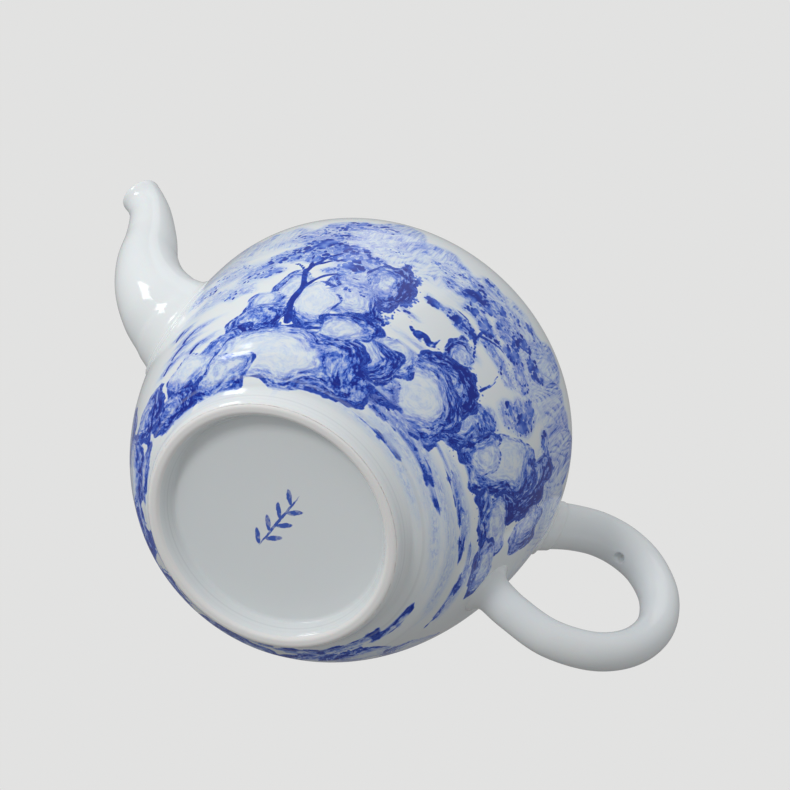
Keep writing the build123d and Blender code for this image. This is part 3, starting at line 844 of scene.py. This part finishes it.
def lift_off(points):
    """How far points stand out from the bowl's skin, mm; below 0 inside it."""
    r, z = np.hypot(points[..., 0], points[..., 1]), points[..., 2] - BELLY_Z
    reach = np.where(z < 0, LOWER_REACH, UPPER_REACH)
    power = np.where(z < 0, LOWER_POWER, UPPER_POWER)
    grown = ((r / BELLY_R) ** power + (np.abs(z) / reach) ** power) ** (1 / power)
    return np.hypot(r, z) * (1 - 1 / grown)


def trim_to_bowl(rings, both_ends):
    """Starts each line of a tube's skin just under the bowl's surface, and ends it there too."""
    rows, around = rings.shape[:2]
    lift = lift_off(rings) + SUNK
    index = np.arange(rows)
    out = np.empty_like(rings)
    for j in range(around):
        line = lift[:, j]
        k = np.nonzero(line[:rows // 2] < 0)[0].max(initial=0)
        first = k + max(0.0, -line[k]) / (line[k + 1] - line[k])
        last = rows - 1.0
        if both_ends:
            m = rows - 1 - np.nonzero(line[::-1][:rows // 2] < 0)[0].max(initial=0)
            last = m - max(0.0, -line[m]) / (line[m - 1] - line[m])
        at = first + (last - first) * np.linspace(0, 1, rows)
        for c in range(3):
            out[:, j, c] = np.interp(at, index, rings[:, j, c])
    return out


def fillet_root(points, outward, radius):
    """Pushes a tube's skin outwards where it meets the bowl, as the slip in a luted joint does."""
    lift = lift_off(points)
    t = np.clip(1 - lift / radius, 0, 0.985)
    return points + outward * (radius * (1 - np.sqrt(1 - t * t)))[..., None]


def tube_rings(stations, count, around):
    """Skin points of a tube in rings, with its centres, outward directions and radii."""
    centre, radius, side, up = tube_frames(stations, count)
    turn = np.linspace(0, 2 * pi, around, endpoint=False)
    across, rise = np.cos(turn)[None, :, None], np.sin(turn)[None, :, None]
    outward = across * side[:, None] + rise * up[:, None]
    skin = centre[:, None] + outward * radius[:, None, None]
    return skin, centre, outward, radius


def make_spout():
    count, around = 170, 112
    skin, centre, outward, radius = tube_rings(SPOUT_STATIONS, count, around)
    skin = trim_to_bowl(fillet_root(skin, outward, SPOUT_FILLET), False)
    wall = np.linspace(SPOUT_WALL, SPOUT_TIP_WALL, count)
    bore = trim_to_bowl(centre[:, None] + outward * (radius - wall)[:, None, None], False)
    # the lip: rolled over from the outside to the bore, and no further than the tip's plane
    whole = np.linalg.norm(centre - centre[-1], axis=1) > LIP_ROLL
    tip, centre, skin, bore = centre[-1], centre[whole], skin[whole], bore[whole]
    last_out, last_in = skin[-1], bore[-1]
    along = centre[-1] - centre[-2]
    along = along / np.linalg.norm(along)
    reach = np.linalg.norm(tip - centre[-1])
    middle, half = (last_out + last_in) / 2, (last_out - last_in) / 2
    lip = [middle + half * cos(t) + along * sin(t) * reach for t in np.linspace(0, pi, 11)[1:-1]]
    rings = np.concatenate([skin, np.array(lip), bore[::-1]])
    rows = len(rings)
    faces = grid_faces(rows, around, flip=True)
    top = (rows - 1) * around
    faces += [(top + j, top + (j + 1) % around, (j + 1) % around, j)[::-1] for j in range(around)]
    piece = make_mesh("spout_tube", rings.reshape(-1, 3), faces)
    piece.data.materials.append(white_porcelain("white_porcelain_spout"))
    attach(piece, "pot")
    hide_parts("spout")


def make_handle():
    count, around = 340, 96
    skin, _, outward, _ = tube_rings(HANDLE_STATIONS, count, around)
    upper = np.arange(count)[:, None] < count // 2
    fillet = np.where(upper, UPPER_ROOT_FILLET, LOWER_ROOT_FILLET)
    lift = lift_off(skin)
    # a collar of slip stands a little proud round the upper root
    collar = COLLAR_STEP * smoothstep(COLLAR_WIDTH + 0.25, COLLAR_WIDTH - 0.25, lift) * upper
    skin = fillet_root(skin + outward * collar[..., None], outward, fillet)
    # the vent hole, pressed in with a soft edge
    away = np.linalg.norm(skin - np.array(VENT_AT), axis=-1)
    skin = skin - outward * (VENT_DEPTH * smoothstep(VENT_R, 0.5, away))[..., None]
    skin = trim_to_bowl(skin, True)
    verts = skin.reshape(-1, 3)
    faces = grid_faces(count, around, flip=True)
    n = len(verts)
    verts = np.vstack([verts, skin[0].mean(0), skin[-1].mean(0)])
    last = (count - 1) * around
    faces += [(n, j, (j + 1) % around) for j in range(around)]
    faces += [(n + 1, last + (j + 1) % around, last + j) for j in range(around)]
    piece = make_mesh("handle_loop", verts, faces)
    piece.data.materials.append(white_porcelain("white_porcelain_handle"))
    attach(piece, "pot")
    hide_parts("handle")


make_body()
make_spout()
make_handle()
plain = white_porcelain("white_porcelain_small")
for node, finish in (("strainer", plain), ("lid_knob", plain), ("lid", lid_porcelain())):
    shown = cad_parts[node]
    shown.data.materials.clear()
    shown.data.materials.append(finish)

# ---- Camera: below and beside the pot, which lies on its side in this view ----
SENSOR, LENS_IN_WIDTHS = 36.0, 3600 / 790     # the lens is this many picture widths long
CAMERA_AT = Vector((-0.0603, 0.3824, -0.5681))
LOOKING = Vector((0.0803, -0.5144, 0.8538))
IMAGE_UP = Vector((0.5649, 0.7292, 0.3862))
image_right = LOOKING.cross(IMAGE_UP).normalized()
camera_up = image_right.cross(LOOKING).normalized()
camera_data = bpy.data.cameras.new("camera")
camera_data.sensor_width = SENSOR
camera_data.lens = SENSOR * LENS_IN_WIDTHS
camera = bpy.data.objects.new("camera", camera_data)
turn = Matrix((image_right, camera_up, -LOOKING.normalized())).transposed().to_4x4()
camera.matrix_world = Matrix.Translation(CAMERA_AT) @ turn
bpy.context.scene.collection.objects.link(camera)
bpy.context.scene.camera = camera


# ---- Floor: one plain pale sheet, the same from every side ----
# The photograph looks at the pot from below its foot, so the floor lies lower than any camera
# stands.
FLOOR_Z, FLOOR_R = -1.15, 7.0
PAPER = (0.72, 0.715, 0.71, 1)
BACKDROP = (0.76, 0.76, 0.755, 1)


def make_floor():
    t = Nodes(bpy.data.materials.new("paper"))
    out = t.vector("LENGTH", t.add("ShaderNodeTexCoord").outputs["Object"])["Value"]
    far = t.ramp(out, FLOOR_R * 0.55, FLOOR_R * 0.98)
    paper = t.add("ShaderNodeBsdfDiffuse", None, Color=PAPER)
    glow = t.add("ShaderNodeEmission", None, Color=BACKDROP, Strength=0.36)
    lit_paper = t.wire("ShaderNodeAddShader", None, paper.outputs[0], glow.outputs[0])
    gone = t.add("ShaderNodeBsdfTransparent")
    both = t.mix_shaders(far, lit_paper.outputs[0], gone.outputs[0])
    t.wire("ShaderNodeOutputMaterial", None, both)
    turns = np.linspace(0, 2 * pi, 96, endpoint=False)
    verts = [(FLOOR_R * cos(turn), FLOOR_R * sin(turn), 0) for turn in turns]
    mesh = bpy.data.meshes.new("floor")
    mesh.from_pydata(verts, [], [tuple(range(len(verts)))])
    mesh.materials.append(t.owner)
    floor = bpy.data.objects.new("floor", mesh)
    floor.location = (0, 0, FLOOR_Z)
    bpy.context.scene.collection.objects.link(floor)
    # the room's even light is set by the world and the lamps, so the floor adds none of its own
    floor.visible_diffuse = False
    floor.visible_glossy = False
    floor.visible_shadow = False
    floor.visible_transmission = False


make_floor()


# ---- Light: a pale room and four lamps ----
LYING_UP = Vector((0.541, 0.808, 0.232)).normalized()     # the way that was up in the photograph
ROOM_TONES = ((0.0, (0.32, 0.315, 0.31)), (1.0, (0.95, 0.97, 1.0)))     # from its floor to its ceiling
ROOM_LIGHT, ROOM_REFLECTED = 0.70, 0.46
POT_MIDDLE = Vector((0, 0, 0.04))


def area_light(name, way, distance, size, power, colour=(1, 1, 1), glossy=True):
    """A lamp that looks at the pot from the way given."""
    data = bpy.data.lights.new(name, "AREA")
    data.shape, data.size, data.size_y = "RECTANGLE", size[0], size[1]
    data.energy, data.color = power, colour
    lamp = bpy.data.objects.new(name, data)
    way = Vector(way).normalized()
    lamp.location = POT_MIDDLE + way * distance
    lamp.rotation_euler = way.to_track_quat("Z", "Y").to_euler()
    lamp.visible_glossy = glossy
    bpy.context.scene.collection.objects.link(lamp)


world = bpy.data.worlds.new("room")
t = Nodes(world)
rise = t.vector("DOT_PRODUCT", t.add("ShaderNodeTexCoord").outputs["Generated"], LYING_UP)["Value"]
sky = t.colours(t.ramp(rise, -1.0, 1.0, kind="LINEAR"), ROOM_TONES)
ray = t.add("ShaderNodeLightPath")
unseen = t.mix_shaders(ray.outputs["Is Glossy Ray"], t.background(sky, ROOM_LIGHT),
                       t.background(sky, ROOM_REFLECTED))
room = t.mix_shaders(ray.outputs["Is Camera Ray"], unseen, t.background(BACKDROP, 1.0))
t.wire("ShaderNodeOutputWorld", None, room)
bpy.context.scene.world = world
to_camera = -LOOKING
window = 0.75 * camera_up - 0.75 * image_right + 0.15 * to_camera
area_light("window", window, 0.9, (0.22, 0.36), 1.5, (1.0, 0.99, 0.97))
overhead = camera_up + 0.25 * image_right - 0.35 * to_camera
key = 0.6 * camera_up - 0.6 * image_right + 1.1 * to_camera
area_light("overhead", overhead, 0.9, (0.6, 0.6), 0.6)
area_light("key", key, 0.9, (0.2, 0.2), 2.1, glossy=False)
area_light("room_fill", Vector((-0.3, -0.6, 1.3)), 1.2, (0.8, 0.8), 3.0, glossy=False)
bpy.context.scene.view_settings.view_transform = "Standard"
